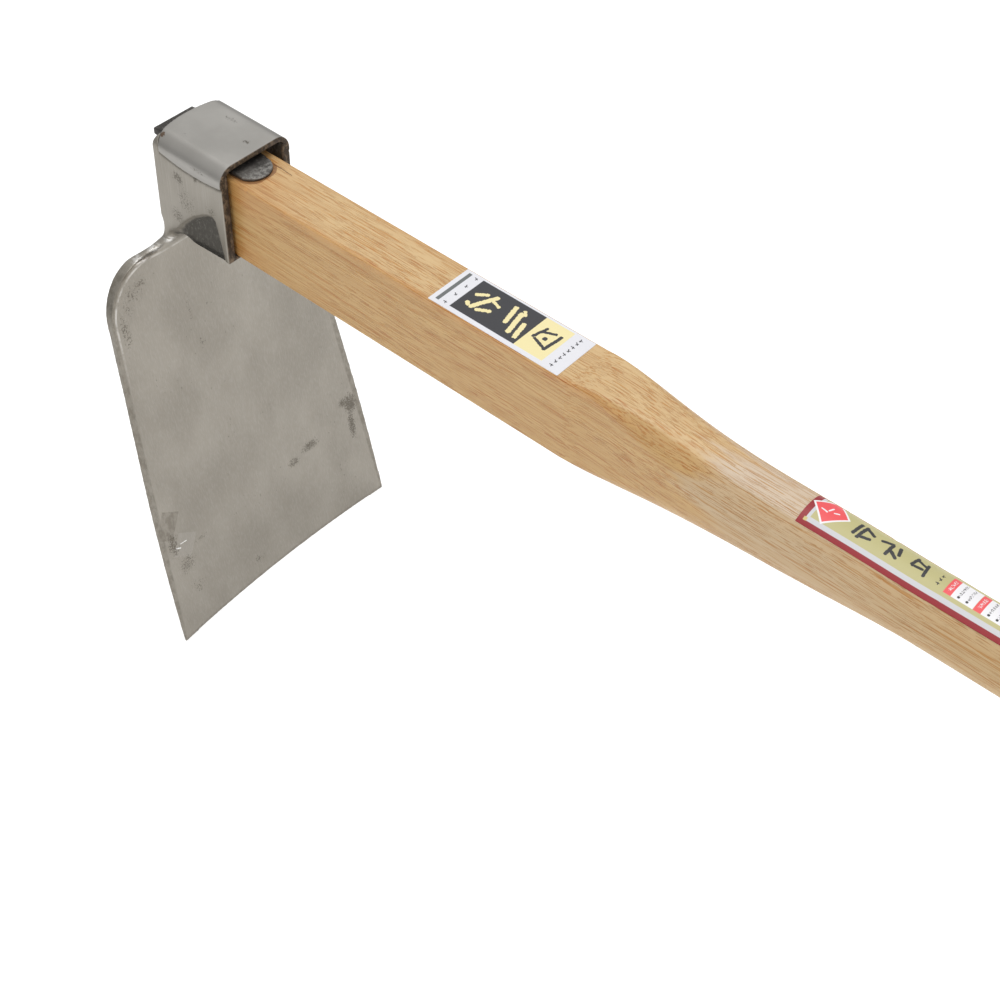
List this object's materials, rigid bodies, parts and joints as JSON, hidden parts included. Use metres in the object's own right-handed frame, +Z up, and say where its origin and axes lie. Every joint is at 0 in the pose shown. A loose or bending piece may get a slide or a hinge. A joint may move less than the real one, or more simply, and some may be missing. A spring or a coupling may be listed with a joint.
{
  "type": "draw hoe",
  "caption": "Wide-bladed draw hoe: a forged steel head wedged onto a straight wooden handle that tapers from a square tenon to a round grip.",
  "frame": {"origin": "on the ground under the middle of the tool's bounding box, with the hoe lying on its cutting edge and the butt of its handle", "axes": "+X runs from the head towards the butt of the handle in plan, +Y is across the blade, +Z is up; the handle slopes down by about 16.5 degrees towards +X"},
  "size_m": [1.0484, 0.1914, 0.3439],
  "materials": {
    "forged_steel": "satin, faint vertical brushing, dark forge scale in the cheek recess",
    "edge_steel": "satin, ground",
    "strap_steel": "satin",
    "wood": "clear varnish on the head half, bare on the grip half",
    "dark_iron": "rough, worn bevel",
    "label_film": null,
    "grip_film": null
  },
  "bodies": {
    "root": {"head_forging": "forged_steel", "edge_steel": "edge_steel", "socket_strap": "strap_steel", "handle": "wood", "wedge": "dark_iron", "handle_label": "label_film", "grip_label": "grip_film"}
  },
  "joints": []
}
